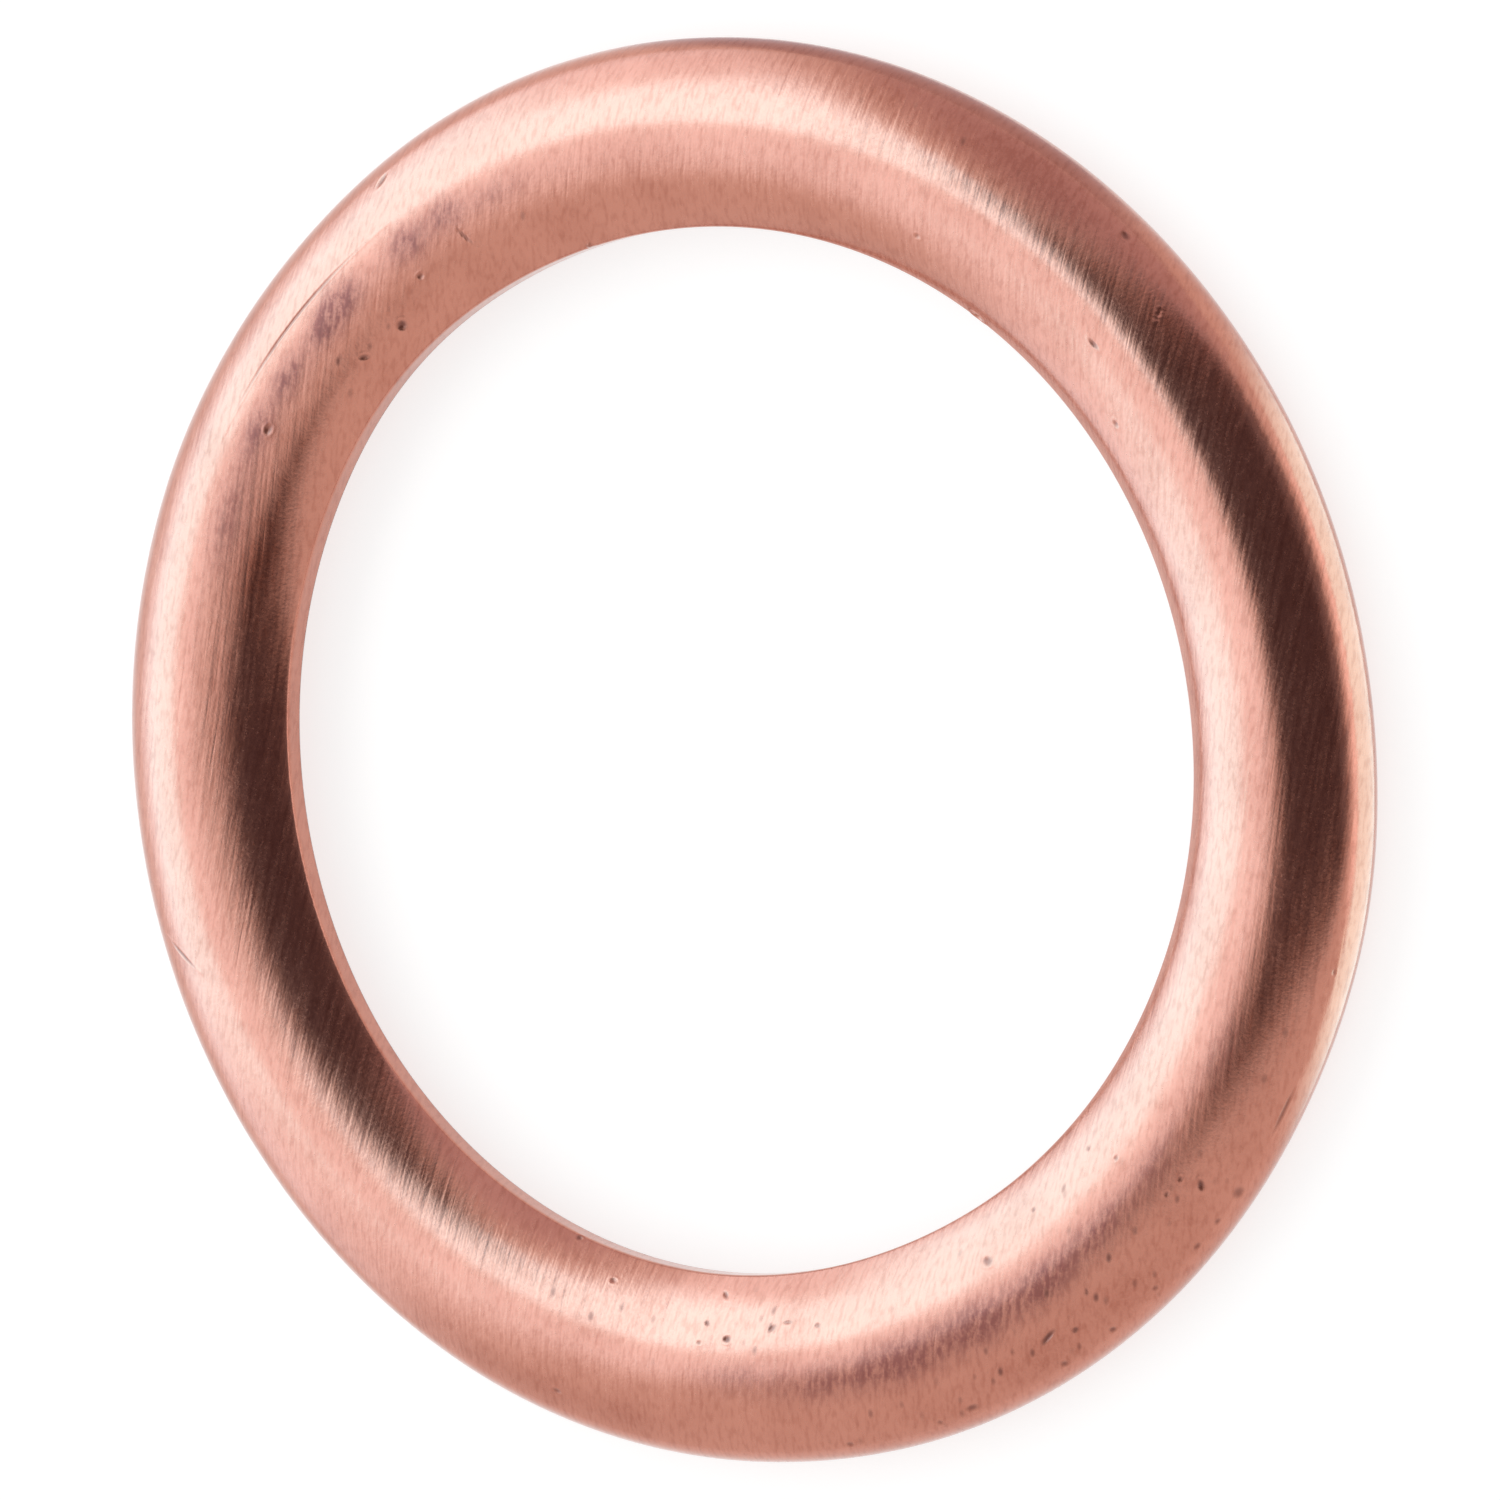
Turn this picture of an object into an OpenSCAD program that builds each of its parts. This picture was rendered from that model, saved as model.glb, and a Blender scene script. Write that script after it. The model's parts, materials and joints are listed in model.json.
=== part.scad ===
// Oil drain plug gasket: a hollow crush ring folded from one annular blank of copper sheet.
// The domed face is up. The flat back lies on z = 0, with the fold's open seam beside the bore.

/* [Fit] */
// Diameter of the bore, a slide fit over the 16 mm shank of a drain plug
bore_d = 16.2; // [14:0.1:17.4]
// Outside diameter of the ring
outer_d = 22; // [20.8:0.1:26]

/* [Section] */
// Height from the flat back to the top of the dome
height = 1.5; // [1.35:0.05:2]
// How far the rim of the bore lies below the top of the dome
rim_drop = 0.5; // [0.3:0.05:0.7]
// Outside radius of the bend that forms the outer edge
outer_bend_r = 0.62; // [0.5:0.02:0.66]
// Outside radius of the bend that lifts the folded edge off the back
fold_r = 1.2; // [0.9:0.05:1.5]
// Radius that the punch leaves on the rim of the bore
rim_r = 0.08; // [0.04:0.01:0.12]

/* [Sheet] */
// Thickness of the copper sheet
sheet_t = 0.25; // [0.15:0.01:0.3]
// Clearance between the folded edge and the underside of the dome
seam_gap = 0.06; // [0.04:0.01:0.12]
// How far the folded edge stays back from the bore
seam_set_back = 0.12; // [0.08:0.01:0.2]

/* [Hidden] */
$fn = 180;

bore_r = bore_d / 2;
outer_r = outer_d / 2;
rim_z = height - rim_drop;

// Neighbouring bends run this many degrees into each other, so that they are one sheet.
lap = 0.01;

// The outer bend rests on the back and reaches the outside diameter.
bend_x = outer_r - outer_bend_r;
bend_z = outer_bend_r;

// The dome is one arc, as high as the ring, that runs into the outer bend and ends at the rim.
span = bend_x - bore_r;
rise = height - 2 * outer_bend_r;
reach = rise * rim_z + span * span;
slope = 2 * span * sqrt(rim_drop);
root = 2 * reach / (slope + sqrt(slope * slope + 4 * (rise - rim_drop) * reach));
dome_r = (root * root + rim_drop) / 2;
dome_x = bore_r + sqrt(rim_drop * (2 * dome_r - rim_drop));
dome_z = height - dome_r;
shoulder = atan2(bend_z - dome_z, bend_x - dome_x);

// The folded edge stands one seam gap below the underside of the dome.
edge_r = dome_r - sheet_t - seam_gap;
edge_x = bore_r + seam_set_back;
edge_z = dome_z + sqrt(edge_r * edge_r - pow(edge_x - dome_x, 2));
fold_x = edge_x + sqrt(edge_z * (2 * fold_r - edge_z));

// The rim's small arc touches the bore and the dome.
rim_arc_x = bore_r + rim_r;
rim_arc_z = dome_z + sqrt(pow(dome_r - rim_r, 2) - pow(rim_arc_x - dome_x, 2));
rim_a = atan2(rim_arc_z - dome_z, rim_arc_x - dome_x);

function polar(centre, r, a) = centre + r * [cos(a), sin(a)];

// What lies between two directions from a centre, out to a radius.
module sector(centre, r, from, to) {
    third = (to - from) / 3;
    polygon([centre, for (k = [0:3]) polar(centre, r, from + k * third)]);
}

// One bend of the sheet, given by its outside radius.
module sheet_bend(centre, r, from, to) {
    intersection() {
        difference() {
            translate(centre) circle(r);
            translate(centre) circle(r - sheet_t);
        }
        sector(centre, 2 * r, from - lap, to + lap);
    }
}

// The dome from the outer bend to the rim, with the bore cut upright through the sheet.
module dome_section() {
    difference() {
        sheet_bend([dome_x, dome_z], dome_r, shoulder, 180);
        translate([0, -dome_r]) square([bore_r, dome_r + height]);
        difference() {
            sector([rim_arc_x, rim_arc_z], 3 * rim_r, rim_a, 180);
            translate([rim_arc_x, rim_arc_z]) circle(rim_r);
        }
    }
}

// The flat back, and the bend that brings the folded edge up to the underside of the dome.
module back_section() {
    translate([fold_x, 0]) square([bend_x - fold_x, sheet_t]);
    intersection() {
        sheet_bend([fold_x, fold_r], fold_r, 180, 270);
        translate([dome_x, dome_z]) circle(edge_r);
    }
}

module gasket_ring() {
    color("#c9806a")
    rotate_extrude() {
        dome_section();
        sheet_bend([bend_x, bend_z], outer_bend_r, -90, shoulder);
        back_section();
    }
}

gasket_ring();
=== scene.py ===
"""Oil drain plug gasket: a hollow copper crush ring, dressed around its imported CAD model.

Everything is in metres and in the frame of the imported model: Z up, the flat back on z = 0 and
the domed face up. Sizes that describe the sheet's section are the ones that the CAD source uses.
Where a number stands in millimetres or degrees, its comment or docstring says so.
"""
import json
import math
from typing import NamedTuple

import bmesh
import bpy
from bpy.props import FloatProperty, FloatVectorProperty, IntProperty, PointerProperty
from bpy.types import Operator, Panel, PropertyGroup
from mathutils import Matrix, Vector, noise


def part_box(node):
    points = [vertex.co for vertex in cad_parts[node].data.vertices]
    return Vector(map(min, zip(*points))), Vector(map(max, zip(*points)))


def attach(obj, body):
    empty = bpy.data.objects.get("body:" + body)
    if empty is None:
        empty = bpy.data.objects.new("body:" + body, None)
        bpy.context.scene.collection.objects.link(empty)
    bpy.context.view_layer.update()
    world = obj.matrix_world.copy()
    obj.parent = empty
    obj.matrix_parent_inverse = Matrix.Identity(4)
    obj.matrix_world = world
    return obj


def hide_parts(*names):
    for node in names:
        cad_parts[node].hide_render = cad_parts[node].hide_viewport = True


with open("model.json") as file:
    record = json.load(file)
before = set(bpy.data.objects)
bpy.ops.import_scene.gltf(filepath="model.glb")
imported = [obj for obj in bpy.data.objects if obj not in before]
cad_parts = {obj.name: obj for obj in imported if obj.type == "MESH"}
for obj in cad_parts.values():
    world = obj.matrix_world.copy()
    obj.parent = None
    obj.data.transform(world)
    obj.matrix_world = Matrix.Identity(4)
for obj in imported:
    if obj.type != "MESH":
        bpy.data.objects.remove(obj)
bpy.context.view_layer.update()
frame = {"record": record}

bl_info = {
    "name": "Drain Plug Gasket",
    "version": (1, 0, 0),
    "blender": (4, 5, 0),
    "location": "View3D > Sidebar > Gasket",
    "description": "Builds a hollow copper crush ring and a plain studio around it",
    "category": "Object",
}

MM = 0.001
CAD_NODE = "gasket_ring"
OUTER_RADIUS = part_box(CAD_NODE)[1].x
BORE_RADIUS = next(m["dims"]["r_mm"] for m in frame["record"]["mounts"] if m["name"] == "bore") * MM
MERGE = 0.0005 * MM


def srgb(hex_colour):
    """An sRGB hex colour as the linear values that Blender works in."""
    values = [int(hex_colour[k:k + 2], 16) / 255 for k in (1, 3, 5)]
    return [v / 12.92 if v <= 0.04045 else ((v + 0.055) / 1.055) ** 2.4 for v in values]


# Sizes and colours that a user would change.


class GASKET_PG_ring(PropertyGroup):
    """Sizes of the folded ring."""

    outer_radius: FloatProperty(
        name="Outer radius", description="Radius of the outer edge",
        default=OUTER_RADIUS, subtype="DISTANCE", precision=5)
    bore_radius: FloatProperty(
        name="Bore radius", description="Radius of the bore over the plug's shank",
        default=BORE_RADIUS, subtype="DISTANCE", precision=5)
    height: FloatProperty(
        name="Height", description="From the flat back to the top of the dome",
        default=1.5 * MM, subtype="DISTANCE", precision=5)
    rim_drop: FloatProperty(
        name="Rim drop", description="How far the rim of the bore lies below the top",
        default=0.5 * MM, subtype="DISTANCE", precision=5)
    outer_bend: FloatProperty(
        name="Outer bend", description="Outside radius of the bend at the outer edge",
        default=0.62 * MM, subtype="DISTANCE", precision=5)
    fold: FloatProperty(
        name="Fold", description="Outside radius of the bend that lifts the folded edge",
        default=1.2 * MM, subtype="DISTANCE", precision=5)
    rim: FloatProperty(
        name="Rim", description="Radius that the punch leaves on the rim of the bore",
        default=0.08 * MM, subtype="DISTANCE", precision=5)
    sheet: FloatProperty(
        name="Sheet", description="Thickness of the copper sheet",
        default=0.25 * MM, subtype="DISTANCE", precision=5)
    seam_gap: FloatProperty(
        name="Seam gap", description="Clearance between the folded edge and the dome",
        default=0.06 * MM, subtype="DISTANCE", precision=5)
    set_back: FloatProperty(
        name="Set back", description="How far the folded edge stays back from the bore",
        default=0.12 * MM, subtype="DISTANCE", precision=5)
    steps: IntProperty(
        name="Steps", description="Steps around the ring", default=480, min=48)
    unevenness: FloatProperty(
        name="Unevenness", description="How much of the ring's bulges, waves and dents it has",
        default=1.0, min=0, max=1, subtype="FACTOR")


class GASKET_PG_finish(PropertyGroup):
    """Colours and patterns of the copper."""

    copper: FloatVectorProperty(
        name="Copper", description="Clean rolled copper", subtype="COLOR", size=3,
        min=0, max=1, default=srgb("#C47E69"))
    handled: FloatVectorProperty(
        name="Handled copper", description="Copper browned by handling", subtype="COLOR",
        size=3, min=0, max=1, default=srgb("#A9614C"))
    oxide: FloatVectorProperty(
        name="Oxide", description="Dark oxide in dents and specks", subtype="COLOR",
        size=3, min=0, max=1, default=srgb("#6A3022"))
    # Colour of the tarnish, also used as painted shade for a dark reflection band along the lower
    # crest.
    tarnish_and_shade: FloatVectorProperty(
        name="Tarnish", description="Purple-brown tarnish film", subtype="COLOR",
        size=3, min=0, max=1, default=srgb("#84443A"))
    roughness: FloatProperty(
        name="Roughness", description="Roughness of the rolled sheet", default=0.21,
        min=0, max=1, subtype="FACTOR")
    rolled_along: FloatProperty(
        name="Rolled along", description="Direction in which the sheet was rolled",
        default=math.radians(-20), subtype="ANGLE")
    hairline: FloatProperty(
        name="Hairline spacing", description="Spacing of the fine rolling lines",
        default=0.08 * MM, subtype="DISTANCE", precision=6)
    relief: FloatProperty(
        name="Hairline relief", description="Depth of the rolling lines",
        default=0.0032 * MM, subtype="DISTANCE", precision=6)


class GASKET_PG_stage(PropertyGroup):
    """The plain studio."""

    white: FloatVectorProperty(
        name="White", description="Colour of the floor and the surroundings",
        subtype="COLOR", size=3, min=0, max=1, default=(1, 1, 1))
    tent: FloatProperty(
        name="Tent", description="Brightness of the soft light from all round",
        default=0.6, min=0, max=2)
    key: FloatProperty(
        name="Key", description="Brightness of the key lamp", default=0.8, min=0, max=10)


# The section of the folded sheet.


def polar(centre, radius, degrees):
    """The point at a radius and direction from a centre."""
    angle = math.radians(degrees)
    return (centre[0] + radius * math.cos(angle), centre[1] + radius * math.sin(angle))


def direction(centre, point):
    """The direction from a centre to a point, in degrees."""
    return math.degrees(math.atan2(point[1] - centre[1], point[0] - centre[0]))


def meet(centre_a, radius_a, centre_b, radius_b):
    """The crossing of two circles that lies on the left of the line from a to b."""
    a, b = Vector(centre_a), Vector(centre_b)
    d = (b - a).length
    along = (d * d + radius_a * radius_a - radius_b * radius_b) / (2 * d)
    across = math.sqrt(radius_a * radius_a - along * along)
    e = (b - a) / d
    return tuple(a + e * along + Vector((-e.y, e.x)) * across)


class Section:
    """The centres, radii and angles of the folded sheet's section, as the CAD source derives them."""

    def __init__(self, ring):
        self.ring = ring
        bore, sheet = ring.bore_radius, ring.sheet
        self.bend = (ring.outer_radius - ring.outer_bend, ring.outer_bend)
        span = self.bend[0] - bore
        rise = ring.height - 2 * ring.outer_bend
        reach = rise * (ring.height - ring.rim_drop) + span * span
        slope = 2 * span * math.sqrt(ring.rim_drop)
        root = 2 * reach / (slope + math.sqrt(slope * slope + 4 * (rise - ring.rim_drop) * reach))
        self.dome_r = (root * root + ring.rim_drop) / 2
        self.dome = (bore + math.sqrt(ring.rim_drop * (2 * self.dome_r - ring.rim_drop)),
                     ring.height - self.dome_r)
        self.shoulder = direction(self.dome, self.bend)
        self.edge_r = self.dome_r - sheet - ring.seam_gap
        edge_x = bore + ring.set_back
        edge_z = self.dome[1] + math.sqrt(self.edge_r ** 2 - (edge_x - self.dome[0]) ** 2)
        self.edge = (edge_x, edge_z)
        self.fold = (edge_x + math.sqrt(edge_z * (2 * ring.fold - edge_z)), ring.fold)
        rim_x = bore + ring.rim
        rim_z = self.dome[1] + math.sqrt((self.dome_r - ring.rim) ** 2 - (rim_x - self.dome[0]) ** 2)
        self.rim = (rim_x, rim_z)
        self.rim_angle = direction(self.dome, self.rim)
        self.homes = {}

    def home(self, place):
        """The blank's radius under a mark or patch, worked out once for each."""
        if place not in self.homes:
            radius = place.radius * MM
            self.homes[place] = self.blank_radius(radius, self.top(radius))
        return self.homes[place]

    def arcs(self):
        """The outer arcs as (centre, radius, from, to), from and to in degrees."""
        return [(self.bend, self.ring.outer_bend, -90, self.shoulder),
                (self.dome, self.dome_r, self.shoulder, self.rim_angle),
                (self.rim, self.ring.rim, self.rim_angle, 180)]

    def settle(self, radius, height):
        """The nearest point of the outer arcs or the bore's wall."""
        best = (self.ring.bore_radius, min(height, self.rim[1]))
        off = math.hypot(best[0] - radius, best[1] - height)
        for centre, r, low, high in self.arcs():
            angle = direction(centre, (radius, height))
            if angle < -90:
                angle += 360
            point = polar(centre, r, min(max(angle, low), high))
            away = math.hypot(point[0] - radius, point[1] - height)
            if away < off:
                best, off = point, away
        return best

    def top(self, radius):
        """The height of the outer surface above a radius."""
        if radius > self.bend[0] + self.ring.outer_bend * math.cos(math.radians(self.shoulder)):
            off = min(radius - self.bend[0], self.ring.outer_bend)
            return self.bend[1] + math.sqrt(self.ring.outer_bend ** 2 - off ** 2)
        return self.dome[1] + math.sqrt(self.dome_r ** 2 - (radius - self.dome[0]) ** 2)

    def in_dome(self, radius, height):
        """Whether a point belongs to the domed leaf, and not to the bend or the back."""
        away = math.hypot(radius - self.dome[0], height - self.dome[1])
        middle = self.edge_r + self.ring.seam_gap / 2
        return away > middle and direction(self.dome, (radius, height)) > self.shoulder

    def on_outside(self, radius, height):
        """Whether a point lies on the outer skin of the dome, the rim or the outer bend."""
        half = self.ring.sheet / 2
        if self.in_dome(radius, height):
            return math.hypot(radius - self.dome[0], height - self.dome[1]) > self.dome_r - half
        away = math.hypot(radius - self.bend[0], height - self.bend[1])
        return radius > self.bend[0] and away > self.ring.outer_bend - half

    def blank_radius(self, radius, height):
        """How far from the axis this point of the sheet was before the blank was folded."""
        if self.in_dome(radius, height):
            turned = 90 - direction(self.dome, (radius, height))
            return self.dome[0] + self.dome_r * math.radians(turned)
        start = self.dome[0] + self.dome_r * math.radians(90 - self.shoulder)
        turned = self.shoulder + 90
        if radius > self.bend[0]:
            turned = self.shoulder - direction(self.bend, (radius, height))
        past = max(self.bend[0] - radius, 0)
        return start + self.ring.outer_bend * math.radians(turned) + past


def add_arc(bm, vert, centre, degrees, steps):
    """Turns a vertex about a centre in the XZ plane and returns the last one."""
    made = bmesh.ops.spin(
        bm, geom=[vert], cent=(centre[0], 0, centre[1]), axis=(0, -1, 0),
        angle=math.radians(degrees), steps=steps, use_merge=False, use_duplicate=False)
    return next(g for g in made["geom_last"] if isinstance(g, bmesh.types.BMVert))


def add_line(bm, vert, point, steps):
    """Draws a straight run of edges from a vertex to a point in the XZ plane."""
    move = (Vector((point[0], 0, point[1])) - vert.co) / steps
    for _ in range(steps):
        made = bmesh.ops.extrude_vert_indiv(bm, verts=[vert])
        vert = made["verts"][0]
        vert.co += move
    return vert


def draw_section(bm, s):
    """The closed outline of the folded sheet, from the foot of the outer bend and round."""
    ring = s.ring
    sheet = ring.sheet
    start = bm.verts.new((s.bend[0], 0, 0))
    v = add_arc(bm, start, s.bend, s.shoulder + 90, 30)
    v = add_arc(bm, v, s.dome, s.rim_angle - s.shoulder, 46)
    v = add_arc(bm, v, s.rim, 180 - s.rim_angle, 5)
    under_r = s.dome_r - sheet
    under_z = s.dome[1] + math.sqrt(under_r ** 2 - (ring.bore_radius - s.dome[0]) ** 2)
    # Short edges on both sides of the leaf's inner corner keep its shading crisp.
    corner_edge = 0.02 * MM
    corner_turn = -1
    v = add_line(bm, v, (ring.bore_radius, under_z + corner_edge), 4)
    v = add_line(bm, v, (ring.bore_radius, under_z), 1)
    under_a = direction(s.dome, (ring.bore_radius, under_z))
    v = add_arc(bm, v, s.dome, corner_turn, 1)
    v = add_arc(bm, v, s.dome, s.shoulder - (under_a + corner_turn), 12)
    v = add_arc(bm, v, s.bend, -90 - s.shoulder, 9)
    v = add_line(bm, v, (s.fold[0], sheet), 2)
    inner_end = meet(s.dome, s.edge_r, s.fold, ring.fold - sheet)
    turn = (direction(s.fold, inner_end) % 360) - 270
    v = add_arc(bm, v, s.fold, turn, 6)
    v = add_arc(bm, v, s.dome, direction(s.dome, s.edge) - direction(s.dome, inner_end), 3)
    v = add_arc(bm, v, s.fold, 270 - (direction(s.fold, s.edge) % 360), 8)
    v = add_line(bm, v, (s.bend[0], 0), 3)
    bmesh.ops.remove_doubles(bm, verts=bm.verts[:], dist=MERGE)


# What handling has done to the ring, and some painted shade along its crest. Angles go round
# the ring from +X, in degrees. Other numbers are in millimetres, or shares between 0 and 1.


class Bulge(NamedTuple):
    """Where the ring is out of round: how far its bore and its outer edge have moved outwards."""
    angle: float
    spread: float
    bore: float
    outside: float


class Swell(NamedTuple):
    """Where the dome stands proud of its arc: places and spreads round the ring and round the dome."""
    angle: float
    spread: float
    lean: float
    width: float
    height: float


class Mark(NamedTuple):
    """A dent: its place, half its length and width, its turn from the tangent, depth and oxide."""
    angle: float
    radius: float
    length: float
    width: float
    turn: float
    depth: float
    oxide: float


class Patch(NamedTuple):
    """A soft-edged patch of colour: its place, half its length round the ring and half its width."""
    angle: float
    radius: float
    length: float
    width: float
    strength: float


BULGES = (
    Bulge(36, 12, 0.075, -0.065),
    Bulge(88, 22, -0.05, 0.025),
    Bulge(150, 15, 0.025, 0.03),
    Bulge(193, 14, -0.075, 0.015),
    Bulge(222, 14, -0.035, 0.01),
    Bulge(249, 9, -0.01, 0.055),
    Bulge(308, 18, 0.01, -0.045),
)

# The crest leans outwards on one side of the ring and inwards on the other. A swell's lean is the
# direction in which the dome faces there: 0 is outwards, 90 is up.
SWELLS = (
    Swell(48, 48, 74, 10.5, 0.031),
    Swell(56, 48, 98, 9, -0.033),
    Swell(172, 39, 72, 12, -0.026),
    Swell(185, 33, 101, 12, 0.017),
    Swell(296, 34, 79, 8.5, 0.030),
    Swell(325, 35, 52, 13.5, -0.013),
    Swell(350, 30, 113, 8.5, 0.021),
)

# The larger marks, measured in the photo: scratches and creases, then pits, then dents on the rim
# of the bore.
MARKS = (
    Mark(39.4, 9.97, 1.75, 0.032, 1.1, 0.012, 0.45),
    Mark(19.4, 9.04, 0.22, 0.025, 73, 0.014, 0.7),
    Mark(99.2, 10.43, 0.36, 0.03, -37, 0.014, 0.7),
    Mark(231.4, 10.89, 0.43, 0.04, 0, 0.012, 0.6),
    Mark(202.2, 10.41, 0.19, 0.055, -13, 0.020, 0.95),
    Mark(301.9, 10.48, 0.12, 0.025, 63, 0.010, 0.0),
    Mark(31.3, 8.57, 0.095, 0.095, 0, 0.024, 0.9),
    Mark(36.8, 8.67, 0.10, 0.05, 45, 0.013, 0.65),
    Mark(26.0, 8.93, 0.06, 0.06, 0, 0.012, 0.6),
    Mark(24.9, 10.62, 0.14, 0.06, -25, 0.014, 0.6),
    Mark(49.1, 9.35, 0.09, 0.07, 0, 0.013, 0.6),
    Mark(309.0, 10.83, 0.10, 0.06, 0, 0.014, 0.8),
    Mark(303.9, 9.39, 0.12, 0.045, 0, 0.013, 0.7),
    Mark(296.8, 8.82, 0.07, 0.05, 0, 0.010, 0.5),
    Mark(325.9, 8.85, 0.05, 0.05, 0, 0.008, 0.4),
    Mark(222.5, 10.44, 0.10, 0.06, -40, 0.016, 0.95),
    Mark(204.6, 10.55, 0.07, 0.05, 0, 0.014, 0.85),
    Mark(207.0, 10.85, 0.07, 0.06, 0, 0.014, 0.75),
    Mark(200.9, 8.97, 0.10, 0.08, 30, 0.014, 0.6),
    Mark(208.1, 8.74, 0.045, 0.045, 0, 0.010, 0.6),
    Mark(217.2, 8.67, 0.05, 0.05, 0, 0.010, 0.5),
    Mark(219.1, 9.16, 0.045, 0.045, 0, 0.010, 0.5),
    Mark(243.8, 10.89, 0.06, 0.04, 0, 0.010, 0.5),
    Mark(223.5, 10.89, 0.12, 0.10, 0, 0.012, 0.6),
    Mark(220.4, 10.88, 0.07, 0.05, 0, 0.010, 0.6),
    Mark(217.6, 10.87, 0.08, 0.05, 0, 0.010, 0.6),
    Mark(207.9, 10.23, 0.07, 0.035, -58, 0.010, 0.7),
    Mark(221.9, 10.15, 0.045, 0.045, 0, 0.010, 0.7),
    Mark(220.0, 10.12, 0.045, 0.045, 0, 0.010, 0.6),
    Mark(201.6, 10.83, 0.07, 0.06, 0, 0.012, 0.7),
    Mark(192.2, 10.76, 0.12, 0.06, 0, 0.012, 0.7),
    Mark(188.8, 10.79, 0.05, 0.05, 0, 0.010, 0.6),
    Mark(212.4, 10.83, 0.06, 0.05, 0, 0.010, 0.6),
    Mark(180.0, 10.78, 0.07, 0.05, 0, 0.010, 0.6),
    Mark(167.0, 8.82, 0.06, 0.045, 60, 0.011, 0.7),
    Mark(169.5, 9.04, 0.07, 0.065, 0, 0.014, 0.85),
    Mark(166.4, 9.12, 0.045, 0.04, 0, 0.009, 0.5),
    Mark(168.4, 8.39, 0.09, 0.04, 60, 0.012, 0.7),
    Mark(174.6, 8.89, 0.10, 0.05, -40, 0.012, 0.6),
    Mark(176.4, 8.82, 0.09, 0.04, 0, 0.010, 0.5),
    Mark(179.9, 8.93, 0.06, 0.05, 0, 0.010, 0.5),
    Mark(155.0, 8.50, 0.06, 0.05, 0, 0.010, 0.5),
    Mark(151.9, 10.48, 0.08, 0.05, 0, 0.010, 0.6),
    Mark(316.9, 8.14, 0.12, 0.05, 0, 0.030, 0.3),
    Mark(7.5, 8.14, 0.07, 0.06, 0, -0.025, 0.4),
    Mark(148.9, 8.14, 0.06, 0.05, 0, 0.012, 0.8),
)

# Purple-brown smudges, in two runs along the crest. The run from 171 to 234 degrees is partly
# tarnish and partly painted shade: a dark reflection band painted into the colour. The other
# patches are tarnish.
TARNISH_AND_SHADE = (
    Patch(14.4, 9.39, 0.50, 0.22, 0.35),
    Patch(20.1, 9.50, 0.32, 0.26, 0.85),
    Patch(25.0, 9.47, 0.36, 0.28, 1.00),
    Patch(34.6, 9.54, 0.40, 0.26, 1.40),
    Patch(37.4, 9.47, 0.34, 0.22, 1.20),
    Patch(43.6, 9.47, 0.44, 0.24, 1.00),
    Patch(50.0, 9.50, 0.50, 0.24, 0.85),
    Patch(58.7, 9.40, 0.80, 0.28, 0.65),
    # Painted shade and tarnish: this run paints a dark reflection band along the lower crest.
    Patch(233.8, 9.85, 0.80, 0.24, 0.55),
    Patch(221.0, 9.76, 0.80, 0.24, 0.65),
    Patch(212.6, 9.72, 0.70, 0.25, 0.90),
    Patch(205.0, 9.74, 0.70, 0.28, 1.10),
    Patch(197.0, 9.72, 0.70, 0.32, 1.10),
    Patch(188.0, 9.76, 0.90, 0.30, 1.20),
    Patch(179.2, 9.81, 0.80, 0.26, 0.75),
    Patch(171.0, 9.66, 0.70, 0.24, 0.50),
    Patch(315.0, 10.35, 1.20, 0.40, 0.35),
)

# Where fingers have browned the copper.
HANDLED = (
    Patch(320.0, 10.60, 3.20, 0.45, 0.75),
    Patch(62.0, 8.80, 0.90, 0.40, 0.90),
    Patch(150.0, 10.50, 2.50, 0.25, 0.50),
    Patch(205.0, 10.60, 3.50, 0.40, 0.45),
)

# Where the oxide specks are dense.
SPECKLED = (
    Patch(205.0, 10.40, 4.50, 0.70, 1.15),
    Patch(170.0, 9.00, 3.00, 0.50, 0.80),
    Patch(215.0, 8.90, 2.50, 0.45, 0.50),
    Patch(30.0, 8.85, 2.50, 0.40, 0.80),
    Patch(325.0, 10.40, 3.00, 0.45, 0.55),
)

# The masks kept on each point. The tarnish mask also carries painted shade along the lower crest.
WEAR_AND_SHADE = ("oxide", "tarnish_and_shade", "handled", "speckled")
WAVE_HEIGHT = 0.004 * MM
WAVE_LENGTH = 1.6 * MM

# Beyond these, in degrees round the ring, a patch or a mark has no effect that counts.
PATCH_REACH = 60
MARK_REACH = 16

# The faces that are divided round a mark: those within it when it is this much longer and wider,
# in millimetres, and then larger by a share.
LONGER = 0.07
WIDER = 0.05
LARGER_BY = 1.35

# A dent's lip, where 1 is the dent's edge, and its height as a share of the dent's depth.
LIP_PLACE = 1.25
LIP_WIDTH = 0.28
LIP_SHARE = 0.22

# The swells, waves and dents fade out between these heights, so that the flat back stays flat.
FADE_LOW = 0.1 * MM
FADE_HIGH = 0.5 * MM


def smooth_step(value):
    """A soft ramp from 0 to 1."""
    t = min(max(value, 0), 1)
    return t * t * (3 - 2 * t)


def turned_by(angle, other):
    """The difference of two angles round the ring, between -180 and 180 degrees."""
    return (angle - other + 180) % 360 - 180


def offset_on_blank(section, angle, blank, place):
    """How far round and how far outwards a point of the flat blank is from a mark or patch, in mm."""
    home = section.home(place)
    round_by = math.radians(turned_by(angle, place.angle)) * home
    return round_by / MM, (blank - home) / MM


def dent_distance(section, angle, blank, mark):
    """Distance from a mark's middle, where 1 is its edge."""
    u, v = offset_on_blank(section, angle, blank, mark)
    turn = math.radians(mark.turn)
    along = u * math.cos(turn) + v * math.sin(turn)
    across = v * math.cos(turn) - u * math.sin(turn)
    return math.hypot(along / mark.length, across / mark.width)


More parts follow.
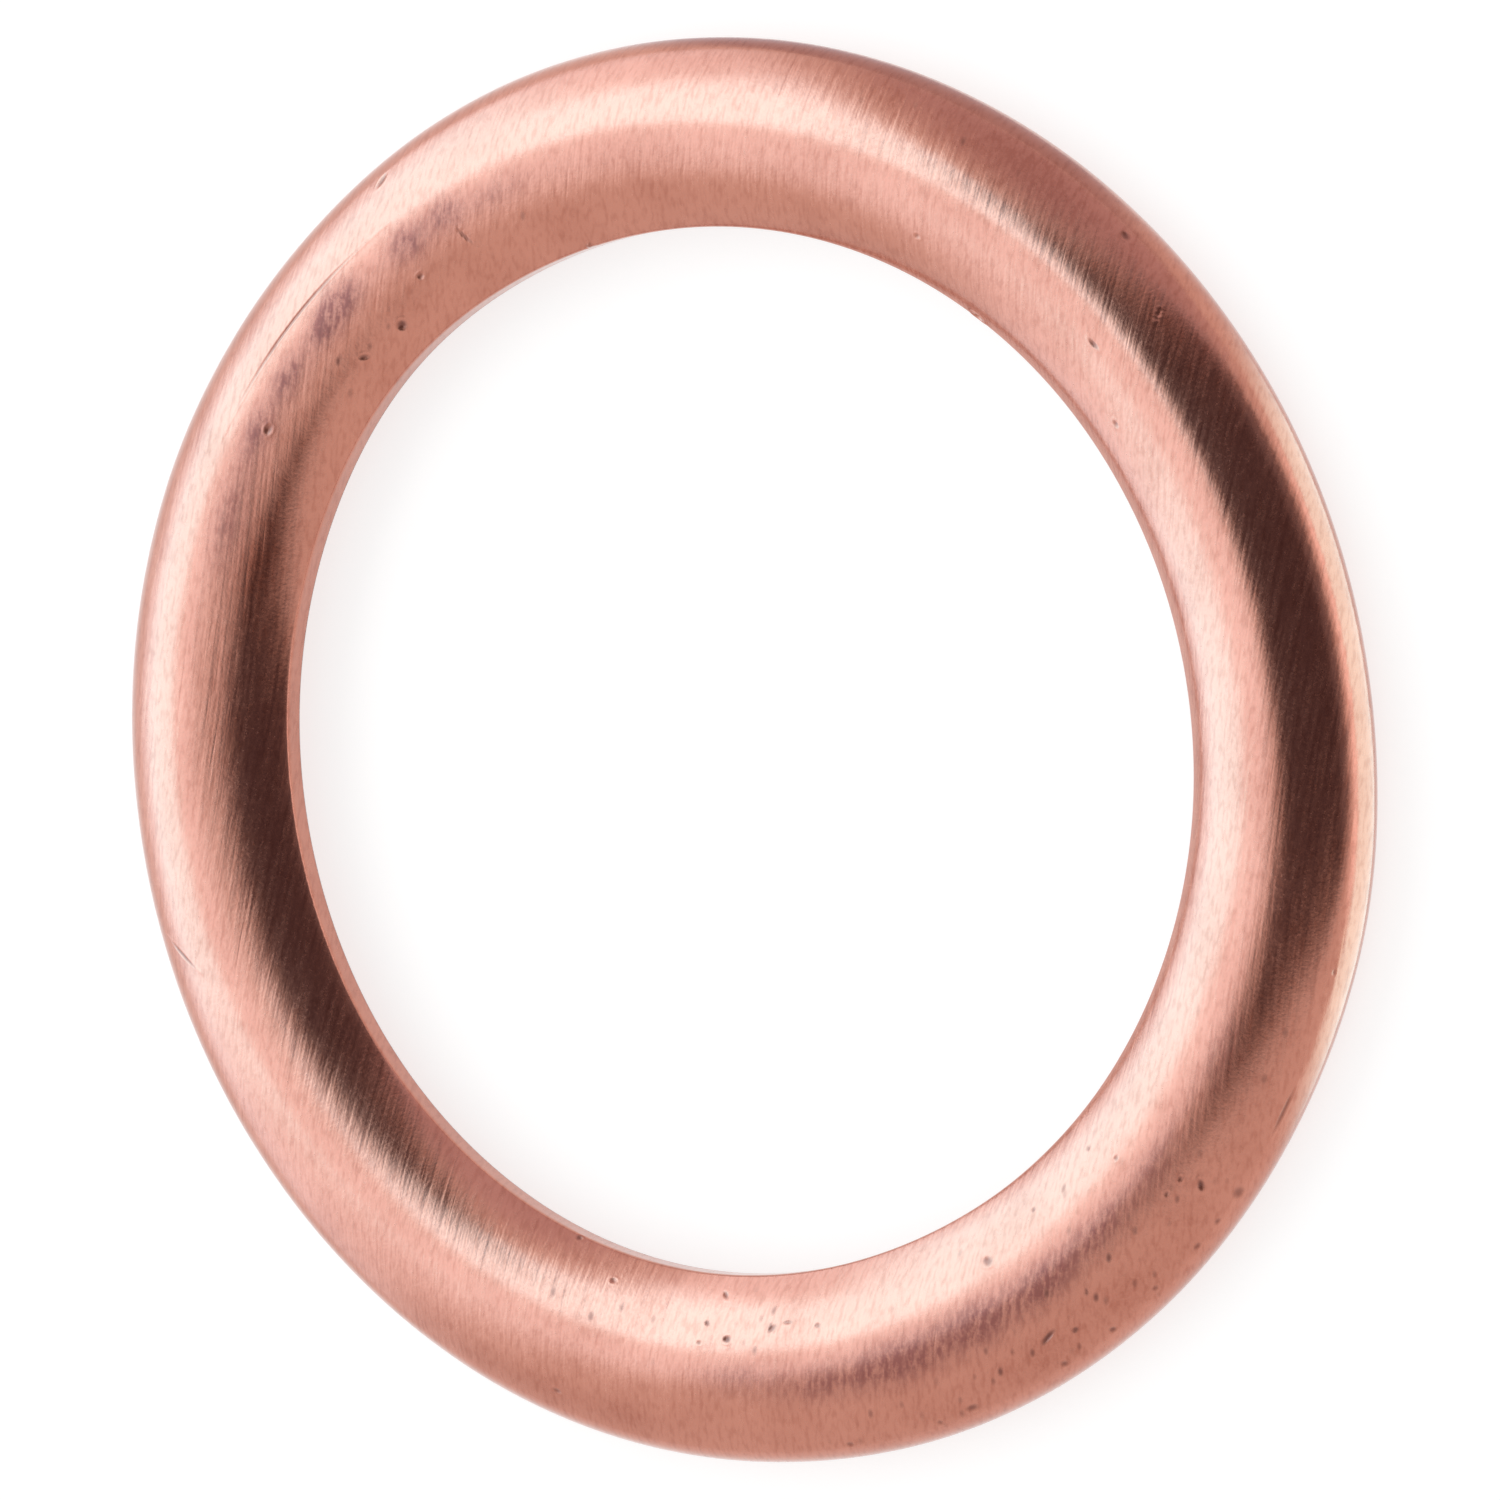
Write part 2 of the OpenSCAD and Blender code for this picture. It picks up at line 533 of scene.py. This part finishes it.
def dent_depth(distance):
    """A bowl with a low lip round it, as a share of its depth."""
    bowl = (1 - distance * distance) ** 2 if distance < 1 else 0
    lip = math.exp(-((distance - LIP_PLACE) / LIP_WIDTH) ** 2)
    return bowl - LIP_SHARE * lip


def patch_strength(section, angle, blank, patches):
    """The patches' strengths at a point, added up to 1 at the most."""
    total = 0
    for patch in patches:
        if abs(turned_by(angle, patch.angle)) > PATCH_REACH:
            continue
        u, v = offset_on_blank(section, angle, blank, patch)
        total += patch.strength * math.exp(-(u / patch.length) ** 2 - (v / patch.width) ** 2)
    return min(total, 1)


def place_on_ring(point):
    """The angle round the ring in degrees, the radius and the height of a point."""
    return math.degrees(math.atan2(point.y, point.x)) % 360, math.hypot(point.x, point.y), point.z


def refine_around_marks(bm, section):
    """Divides the faces around each mark, so that its dent has enough vertices to be round."""
    reach_angle = {m: math.degrees((1.5 * max(m.length, m.width) + 0.15) / m.radius) for m in MARKS}
    chosen = set()
    for face in bm.faces:
        angle, radius, height = place_on_ring(face.calc_center_median())
        if not section.on_outside(radius, height):
            continue
        blank = section.blank_radius(radius, height)
        for mark in MARKS:
            if abs(turned_by(angle, mark.angle)) > reach_angle[mark]:
                continue
            grown = mark._replace(length=mark.length + LONGER, width=mark.width + WIDER)
            if dent_distance(section, angle, blank, grown) < LARGER_BY:
                chosen.update(face.edges)
                break
    edges = [edge for edge in bm.edges if edge in chosen]
    made = bmesh.ops.subdivide_edges(bm, edges=edges, cuts=3, use_grid_fill=True)
    new = dict.fromkeys(made["geom_inner"] + made["geom_split"])
    for vert in (part for part in new if isinstance(part, bmesh.types.BMVert)):
        angle, radius, height = place_on_ring(vert.co)
        if not section.on_outside(radius, height):
            continue
        radius, height = section.settle(radius, height)
        x, y = polar((0, 0), radius, angle)
        vert.co = (x, y, height)


def out_of_round(section, angle, radius):
    """How far a point is moved outwards by the bulges."""
    ring = section.ring
    across = (radius - ring.bore_radius) / (ring.outer_radius - ring.bore_radius)
    shift = 0
    for bulge in BULGES:
        near = math.exp(-(turned_by(angle, bulge.angle) / bulge.spread) ** 2 / 2)
        shift += near * (bulge.bore * (1 - across) + bulge.outside * across)
    return shift * MM


def swell_height(section, angle, radius, height):
    """How far the dome's outside stands proud of its arc."""
    centre = section.dome if section.in_dome(radius, height) else section.bend
    lean = direction(centre, (radius, height))
    proud = 0
    for swell in SWELLS:
        along = turned_by(angle, swell.angle) / swell.spread
        across = (lean - swell.lean) / swell.width
        proud += swell.height * math.exp(-(along ** 2 + across ** 2) / 2)
    return proud * MM


def work_surface(bm, section):
    """Gives each point its place on the blank, its wear and its painted shade, and moves it by bulges,
    waves and dents.
    """
    blank_layer = bm.verts.layers.float_vector["blank"]
    wear_and_shade = {name: bm.verts.layers.float[name] for name in WEAR_AND_SHADE}
    keep = section.ring.unevenness
    bm.normal_update()
    moves = []
    for vert in bm.verts:
        angle, radius, height = place_on_ring(vert.co)
        blank = section.blank_radius(radius, height)
        x, y = polar((0, 0), blank, angle)
        vert[blank_layer] = (x, y, 0)
        outward = Vector((vert.co.x, vert.co.y, 0)) / radius
        move = outward * out_of_round(section, angle, radius)
        if section.on_outside(radius, height):
            # Tarnish, and along the lower crest painted shade: a dark reflection band painted as
            # tarnish.
            vert[wear_and_shade["tarnish_and_shade"]] = patch_strength(section, angle, blank, TARNISH_AND_SHADE)
            vert[wear_and_shade["handled"]] = patch_strength(section, angle, blank, HANDLED)
            vert[wear_and_shade["speckled"]] = patch_strength(section, angle, blank, SPECKLED)
            depth = WAVE_HEIGHT * noise.noise(vert.co / WAVE_LENGTH)
            depth -= swell_height(section, angle, radius, height)
            for mark in MARKS:
                if abs(turned_by(angle, mark.angle)) > MARK_REACH:
                    continue
                distance = dent_distance(section, angle, blank, mark)
                if distance < 2:
                    depth += mark.depth * MM * dent_depth(distance)
                    stain = mark.oxide * smooth_step(LIP_PLACE - distance)
                    vert[wear_and_shade["oxide"]] = max(vert[wear_and_shade["oxide"]], stain)
            above_back = smooth_step((height - FADE_LOW) / (FADE_HIGH - FADE_LOW))
            move -= vert.normal * depth * above_back
        moves.append((vert, move * keep))
    for vert, move in moves:
        vert.co += move


def build_ring(ring):
    """Spins the section round the axis and works its surface."""
    section = Section(ring)
    bm = bmesh.new()
    bm.verts.layers.float_vector.new("blank")
    for name in WEAR_AND_SHADE:
        bm.verts.layers.float.new(name)
    draw_section(bm, section)
    bmesh.ops.spin(
        bm, geom=bm.verts[:] + bm.edges[:], cent=(0, 0, 0), axis=(0, 0, 1),
        angle=2 * math.pi, steps=ring.steps, use_merge=True, use_duplicate=False)
    bmesh.ops.remove_doubles(bm, verts=bm.verts[:], dist=MERGE)
    refine_around_marks(bm, section)
    bmesh.ops.recalc_face_normals(bm, faces=bm.faces[:])
    work_surface(bm, section)
    for face in bm.faces:
        face.smooth = True
    mesh = bpy.data.meshes.new("crush_ring")
    bm.to_mesh(mesh)
    bm.free()
    piece = bpy.data.objects.new("crush_ring", mesh)
    bpy.context.scene.collection.objects.link(piece)
    return piece


# Materials.

TIMES = {"operation": "MULTIPLY"}
PLUS = {"operation": "ADD"}
TIMES_PLUS = {"operation": "MULTIPLY_ADD"}
LARGER = {"operation": "MAXIMUM"}
TINT = {"data_type": "RGBA"}


def new_material(name):
    """An empty node material, named for what the surface is."""
    material = bpy.data.materials.new(name)
    material.use_nodes = True
    material.node_tree.nodes.clear()
    return material


def add(tree, kind, settings=None, **inputs):
    """Adds a node with its settings, and sets or links its inputs.

    An input is given by its name, with _ for a space, or as i and its number. It takes a value, or
    the output that is linked to it.
    """
    node = tree.nodes.new("ShaderNode" + kind)
    for key, value in (settings or {}).items():
        setattr(node, key, value)
    for name, value in inputs.items():
        numbered = name[0] == "i" and name[1:].isdigit()
        socket = node.inputs[int(name[1:]) if numbered else name.replace("_", " ")]
        if isinstance(value, bpy.types.NodeSocket):
            tree.links.new(value, socket)
        else:
            socket.default_value = value
    return node


def lines_along(tree, place, spacing, length):
    """Streaks along X with a spacing across them, from 0 to 1."""
    squeezed = add(tree, "Mapping", Vector=place, Scale=(1 / length, 1 / spacing, 1 / spacing))
    streaks = add(tree, "TexNoise", Vector=squeezed.outputs[0], Scale=1.0, Detail=1.5, Roughness=0.55)
    return streaks.outputs["Fac"]


def copper_material(finish):
    """Cold rolled and annealed copper sheet, with a thin film of oil.

    Rolling leaves fine straight hairlines, which comb the edges of every reflection and stay
    straight across the ring, because the ring is folded from a flat blank. Handling browns it in
    patches, tarnish lies on it as purple-brown smudges that follow the hairlines, and pits and
    specks hold dark oxide. Along the lower crest the smudges are also painted shade: a dark
    reflection band painted into the colour.
    """
    material = new_material("rolled_copper_sheet")
    tree = material.node_tree

    place = add(tree, "TexCoord").outputs["Object"]
    blank = add(tree, "Attribute", {"attribute_name": "blank"}).outputs["Vector"]
    oxide = add(tree, "Attribute", {"attribute_name": "oxide"}).outputs["Fac"]
    tarnish_and_shade = add(tree, "Attribute", {"attribute_name": "tarnish_and_shade"}).outputs["Fac"]
    handled = add(tree, "Attribute", {"attribute_name": "handled"}).outputs["Fac"]
    speckled = add(tree, "Attribute", {"attribute_name": "speckled"}).outputs["Fac"]
    rolled = add(tree, "Mapping", Vector=blank, Rotation=(0, 0, -finish.rolled_along)).outputs[0]

    # Real hairlines are about 0.01 mm apart. They are drawn coarser, so that the render shows them.
    hair = lines_along(tree, rolled, finish.hairline, 15 * finish.hairline)
    streak = lines_along(tree, rolled, 3 * finish.hairline, 32 * finish.hairline)
    dash = lines_along(tree, rolled, finish.hairline, 2.8 * finish.hairline)
    scratch = lines_along(tree, rolled, 1.6 * finish.hairline, 40 * finish.hairline)
    scratch = add(tree, "MapRange", Value=scratch, From_Min=0.68, From_Max=0.78).outputs[0]
    grain = add(tree, "TexNoise", Vector=place, Scale=1 / (0.05 * MM), Detail=2.0).outputs["Fac"]
    cloud = add(tree, "TexNoise", Vector=place, Scale=1 / (1.1 * MM), Detail=4.0, Roughness=0.6)
    cloud = cloud.outputs["Fac"]

    # The bump is only the hairlines and the grain: the dents and waves are in the mesh.
    relief = add(tree, "Math", TIMES_PLUS, i0=streak, i1=1.6, i2=hair).outputs[0]
    relief = add(tree, "Math", TIMES_PLUS, i0=grain, i1=0.5, i2=relief).outputs[0]
    relief = add(tree, "Math", TIMES_PLUS, i0=scratch, i1=-0.4, i2=relief).outputs[0]
    normal = add(tree, "Bump", Strength=1.0, Distance=finish.relief, Height=relief).outputs[0]

    # Tarnish breaks up into dashes along the hairlines. So does the painted shade, a dark reflection
    # band painted along the lower crest with the tarnish.
    broken = add(tree, "Math", TIMES_PLUS, i0=streak, i1=0.6, i2=dash).outputs[0]
    broken = add(tree, "Math", TIMES_PLUS, i0=grain, i1=0.5, i2=broken).outputs[0]
    broken = add(tree, "MapRange", Value=broken, From_Min=0.85, From_Max=1.2, To_Min=0.45, To_Max=1.1)
    smudge_and_shade = add(tree, "Math", dict(TIMES, use_clamp=True), i0=tarnish_and_shade, i1=broken.outputs[0]).outputs[0]

    # Oxide specks are up to 0.1 mm long, and lie along the hairlines.
    cells = add(tree, "Mapping", Vector=rolled, Scale=(1 / (0.42 * MM), 1 / (0.24 * MM), 1)).outputs[0]
    specks = add(tree, "TexVoronoi", Vector=cells, Scale=1.0, Randomness=1.0).outputs
    chosen = add(tree, "Math", PLUS, i0=specks["Color"], i1=speckled).outputs[0]
    chosen = add(tree, "MapRange", Value=chosen, From_Min=0.85, From_Max=1.45, To_Max=0.8).outputs[0]
    speck = add(tree, "MapRange", Value=specks["Distance"], From_Min=0.08, From_Max=0.24,
                To_Min=1.0, To_Max=0.0).outputs[0]
    speck = add(tree, "Math", TIMES, i0=speck, i1=chosen).outputs[0]
    oxide = add(tree, "Math", LARGER, i0=oxide, i1=speck).outputs[0]

    # Handling and rolling leave the copper mottled. Tarnish, and the painted shade along the lower
    # crest, cover that, and oxide covers both.
    mottle = add(tree, "MapRange", Value=dash, From_Min=0.47, From_Max=0.68, To_Max=0.45).outputs[0]
    browned = add(tree, "MapRange", Value=cloud, From_Min=0.42, From_Max=0.75, To_Max=0.45).outputs[0]
    browned = add(tree, "Math", PLUS, i0=browned, i1=handled).outputs[0]
    uneven = add(tree, "MapRange", Value=grain, From_Min=0.3, From_Max=0.7, To_Min=0.6, To_Max=1.1)
    browned = add(tree, "Math", TIMES, i0=browned, i1=uneven.outputs[0]).outputs[0]
    browned = add(tree, "Math", dict(PLUS, use_clamp=True), i0=browned, i1=mottle).outputs[0]
    colour = add(tree, "Mix", TINT, i0=browned, i6=(*finish.copper, 1), i7=(*finish.handled, 1))
    # Painted shade: along the lower crest this mix paints a dark reflection band; elsewhere it is
    # tarnish.
    colour = add(tree, "Mix", TINT, i0=smudge_and_shade, i6=colour.outputs[2], i7=(*finish.tarnish_and_shade, 1))
    colour = add(tree, "Mix", TINT, i0=oxide, i6=colour.outputs[2], i7=(*finish.oxide, 1))

    # Hairlines and grain make the reflections uneven, and tarnish, the painted shade along the lower
    # crest and oxide dull them. The oil is a thin smoother coat.
    rough = add(tree, "MapRange", Value=hair, From_Min=0.3, From_Max=0.7,
                To_Min=finish.roughness - 0.04, To_Max=finish.roughness + 0.04).outputs[0]
    dull = add(tree, "MapRange", Value=grain, From_Min=0.45, From_Max=0.70, To_Max=0.06).outputs[0]
    rough = add(tree, "Math", PLUS, i0=rough, i1=dull).outputs[0]
    rough = add(tree, "Math", TIMES_PLUS, i0=smudge_and_shade, i1=0.10, i2=rough).outputs[0]
    rough = add(tree, "Math", TIMES_PLUS, i0=oxide, i1=0.25, i2=rough).outputs[0]
    shader = add(tree, "BsdfPrincipled", Base_Color=colour.outputs[2], Metallic=1.0, Roughness=rough,
                 Coat_Weight=0.8, Coat_Roughness=0.12, Normal=normal)
    add(tree, "OutputMaterial", Surface=shader.outputs[0])
    return material


# The stage. Directions are seen from the ring: azimuth from +X towards +Y, elevation above the
# floor, both in degrees.

# The camera as the ring's two outlines in the photo give it: degrees off the ring's axis, degrees
# turned about the view, its distance, and the lens and shift for a sensor of this width.
TILT = 30.98
ROLL = 99.58
CAMERA_DISTANCE = 0.573
SENSOR = 36
LENS = 893.8
SHIFT = (0.0036, 0.0005)

FLOOR_RADIUS = 2.0
FLOOR_GLOW = 0.72
PAPER_GREY = 0.45


def camera_axes():
    """The camera's right, up and backward directions."""
    tilt, roll = math.radians(TILT), math.radians(ROLL)
    back = Vector((0, -math.sin(tilt), math.cos(tilt)))
    east = Vector((1, 0, 0))
    north = back.cross(east)
    right = math.cos(roll) * east + math.cos(roll + math.pi / 2) * north
    up = back.cross(right)
    return right, up, back


def build_camera():
    """A long lens that looks at the middle of the ring."""
    right, up, back = camera_axes()
    data = bpy.data.cameras.new("camera")
    data.lens = LENS
    data.sensor_width = SENSOR
    data.shift_x, data.shift_y = SHIFT
    data.clip_start, data.clip_end = 0.01, 20
    camera = bpy.data.objects.new("camera", data)
    place = Vector((0, 0, 0.75 * MM)) + back * CAMERA_DISTANCE
    turn = Matrix((right, up, back)).transposed().to_4x4()
    camera.matrix_world = Matrix.Translation(place) @ turn
    bpy.context.scene.collection.objects.link(camera)
    bpy.context.scene.camera = camera


def towards(azimuth, elevation):
    """The direction from the ring to an azimuth and elevation."""
    a, e = math.radians(azimuth), math.radians(elevation)
    return Vector((math.cos(e) * math.cos(a), math.cos(e) * math.sin(a), math.sin(e)))


def build_key_lamp(stage):
    """A large soft lamp that lights the floor. The metal sees the key card in its place."""
    way = towards(62, 36)
    distance = 0.32
    data = bpy.data.lights.new("key_lamp", "AREA")
    data.shape = "RECTANGLE"
    data.size, data.size_y = 2 * distance, 1.2 * distance
    data.energy = stage.key * math.pi * data.size * data.size_y
    lamp = bpy.data.objects.new("key_lamp", data)
    side = Vector((-way.y, way.x, 0)).normalized()
    turn = Matrix((side, way.cross(side), way)).transposed().to_4x4()
    lamp.matrix_world = Matrix.Translation(way * distance) @ turn
    bpy.context.scene.collection.objects.link(lamp)
    lamp.visible_camera = False
    lamp.visible_glossy = False


def card_material(name, level):
    """Plain reflector card. Its soft edge lets the surroundings through."""
    material = new_material(name)
    tree = material.node_tree
    share = add(tree, "Attribute", {"attribute_name": "cover"}).outputs["Fac"]
    glow = add(tree, "Emission", Color=(*level, 1), Strength=1.0).outputs[0]
    clear = add(tree, "BsdfTransparent").outputs[0]
    both = add(tree, "MixShader", Fac=share, i1=clear, i2=glow).outputs[0]
    add(tree, "OutputMaterial", Surface=both)
    return material


def build_card(name, place, level, divisions=(24, 16)):
    """A card that only the metal sees. place turns (u, v) from 0 to 1 into a point and its cover."""
    bm = bmesh.new()
    cover = bm.verts.layers.float.new("cover")
    bmesh.ops.create_grid(bm, x_segments=divisions[0], y_segments=divisions[1], size=0.5)
    for vert in bm.verts:
        point, share = place(vert.co.x + 0.5, vert.co.y + 0.5)
        vert.co = point
        vert[cover] = share
    mesh = bpy.data.meshes.new(name)
    bm.to_mesh(mesh)
    bm.free()
    card = bpy.data.objects.new(name, mesh)
    bpy.context.scene.collection.objects.link(card)
    mesh.materials.append(card_material(name, level))
    card.visible_camera = False
    card.visible_shadow = False
    card.visible_diffuse = False


def between(low_high, share):
    """The value at a share of the way between two."""
    return low_high[0] + (low_high[1] - low_high[0]) * share


def curved_card(name, azimuths, elevations, distance, soft, level):
    """A card bent round the ring, with edges that fade over some degrees."""
    def place(u, v):
        azimuth, elevation = between(azimuths, u), between(elevations, v)
        inside = min(azimuth - azimuths[0], azimuths[1] - azimuth,
                     elevation - elevations[0], elevations[1] - elevation)
        return towards(azimuth, elevation) * distance, smooth_step(inside / soft)
    build_card(name, place, level)


def ceiling_card(name, height, near, far, soft, level):
    """A level card overhead. near and far are its Y and its two X, and it fades at its edges."""
    def place(u, v):
        low, high = between((near[1], far[1]), v), between((near[2], far[2]), v)
        point = Vector((between((low, high), u), between((near[0], far[0]), v), height))
        inside = min(u, 1 - u) * (high - low)
        front = (1 - v) * abs(far[0] - near[0])
        share = smooth_step(inside / soft) * smooth_step(front / (2 * soft))
        return point, share * smooth_step(v * abs(far[0] - near[0]) / (1.4 * soft))
    build_card(name, place, level, (24, 40))


def floor_card(name, azimuths, radii, soft, level):
    """A sheet on the floor beside the ring, with ends that fade over some degrees."""
    def place(u, v):
        azimuth, radius = between(azimuths, u), between(radii, v)
        inside = min(azimuth - azimuths[0], azimuths[1] - azimuth)
        share = smooth_step(inside / soft) * smooth_step((1 - v) / 0.4)
        return towards(azimuth, 0) * radius + Vector((0, 0, 0.03 * MM)), share
    build_card(name, place, level, (36, 6))


def seen_by_camera_or_metal(tree):
    """1 for rays that come from the camera or out of metal or glass, 0 for the others."""
    path = add(tree, "LightPath").outputs
    seen = add(tree, "Math", LARGER, i0=path["Is Camera Ray"], i1=path["Is Glossy Ray"]).outputs[0]
    return add(tree, "Math", LARGER, i0=seen, i1=path["Is Transmission Ray"]).outputs[0]


def build_floor(stage):
    """White paper sweep: it looks white, and what the ring keeps from it leaves a faint shadow."""
    bm = bmesh.new()
    bmesh.ops.create_circle(bm, cap_ends=True, segments=96, radius=FLOOR_RADIUS)
    mesh = bpy.data.meshes.new("floor")
    bm.to_mesh(mesh)
    bm.free()
    floor = bpy.data.objects.new("floor", mesh)
    bpy.context.scene.collection.objects.link(floor)
    material = new_material("white_paper_sweep")
    tree = material.node_tree
    seen = seen_by_camera_or_metal(tree)
    level = add(tree, "Math", TIMES, i0=seen, i1=FLOOR_GLOW).outputs[0]
    glow = add(tree, "Emission", Color=(*stage.white, 1), Strength=level).outputs[0]
    grey = (*[PAPER_GREY * c for c in stage.white], 1)
    paper = add(tree, "BsdfDiffuse", Color=grey).outputs[0]
    both = add(tree, "AddShader", i0=glow, i1=paper).outputs[0]
    add(tree, "OutputMaterial", Surface=both)
    mesh.materials.append(material)


def build_surroundings(stage):
    """A white tent: soft light from all round, and plain white behind what the camera sees."""
    world = bpy.data.worlds.new("tent")
    world.use_nodes = True
    tree = world.node_tree
    tree.nodes.clear()
    soft = [stage.tent * c for c in stage.white]
    colour = add(tree, "Mix", TINT, i0=seen_by_camera_or_metal(tree),
                 i6=(*soft, 1), i7=(*stage.white, 1)).outputs[2]
    glow = add(tree, "Background", Color=colour).outputs[0]
    add(tree, "OutputWorld", Surface=glow)
    bpy.context.scene.world = world


# Operators.


class GASKET_OT_crush_ring(Operator):
    """Builds the folded copper ring in place of its CAD solid"""

    bl_idname = "gasket.crush_ring"
    bl_label = "Crush Ring"
    bl_options = {"REGISTER", "UNDO"}

    def execute(self, context):
        ring, finish = context.scene.gasket_ring, context.scene.gasket_finish
        piece = build_ring(ring)
        piece.data.materials.append(copper_material(finish))
        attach(piece, "root")
        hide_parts(CAD_NODE)
        return {"FINISHED"}


class GASKET_OT_stage(Operator):
    """Builds the floor, the lamp, the reflector cards, the surroundings and the camera"""

    bl_idname = "gasket.stage"
    bl_label = "Stage"
    bl_options = {"REGISTER", "UNDO"}

    def execute(self, context):
        stage = context.scene.gasket_stage
        context.scene.view_settings.view_transform = "Standard"
        build_floor(stage)
        build_surroundings(stage)
        build_key_lamp(stage)
        # What the metal reflects. Levels below 1 make the photo's dark bands, those above 1 its
        # bright ones, which are cooler than the rest.
        ceiling_card("dark_ceiling", 0.30, (0.11, -0.14, 0.15), (-0.52, -0.26, 0.42), 0.06,
                     (0.09, 0.07, 0.08))
        curved_card("dim_front", (-120, -44), (20, 52), 0.36, 12, (0.25, 0.23, 0.25))
        curved_card("shade_card", (-56, 12), (-8, 58), 0.62, 14, (0.80, 0.74, 0.82))
        curved_card("key_card", (8, 120), (-8, 76), 0.60, 16, (1.65, 2.05, 2.35))
        curved_card("key_high", (13, 80), (28, 78), 0.56, 12, (2.2, 3.6, 4.3))
        curved_card("key_low", (36, 104), (4, 52), 0.52, 12, (1.9, 3.4, 4.1))
        curved_card("low_card", (-126, -60), (-6, 18), 0.40, 10, (1.8, 1.95, 2.05))
        floor_card("front_sheet", (-136, -58), (11.2 * MM, 60 * MM), 18, (1.7, 2.7, 2.9))
        floor_card("shade_sheet", (-54, 6), (11.2 * MM, 60 * MM), 12, (0.7, 0.65, 0.7))
        build_camera()
        return {"FINISHED"}


class GASKET_PT_panel(Panel):
    """Lists the steps that build the gasket and its studio."""

    bl_label = "Drain Plug Gasket"
    bl_idname = "GASKET_PT_panel"
    bl_space_type = "VIEW_3D"
    bl_region_type = "UI"
    bl_category = "Gasket"

    def draw(self, context):
        layout = self.layout
        for operator in (GASKET_OT_crush_ring, GASKET_OT_stage):
            layout.operator(operator.bl_idname)


CLASSES = (
    GASKET_PG_ring,
    GASKET_PG_finish,
    GASKET_PG_stage,
    GASKET_OT_crush_ring,
    GASKET_OT_stage,
    GASKET_PT_panel,
)


def register():
    for cls in CLASSES:
        bpy.utils.register_class(cls)
    bpy.types.Scene.gasket_ring = PointerProperty(type=GASKET_PG_ring)
    bpy.types.Scene.gasket_finish = PointerProperty(type=GASKET_PG_finish)
    bpy.types.Scene.gasket_stage = PointerProperty(type=GASKET_PG_stage)


def unregister():
    del bpy.types.Scene.gasket_stage
    del bpy.types.Scene.gasket_finish
    del bpy.types.Scene.gasket_ring
    for cls in reversed(CLASSES):
        bpy.utils.unregister_class(cls)


def main():
    """Builds the ring and the stage."""
    register()
    bpy.ops.gasket.crush_ring()
    bpy.ops.gasket.stage()


if __name__ == "__main__":
    main()
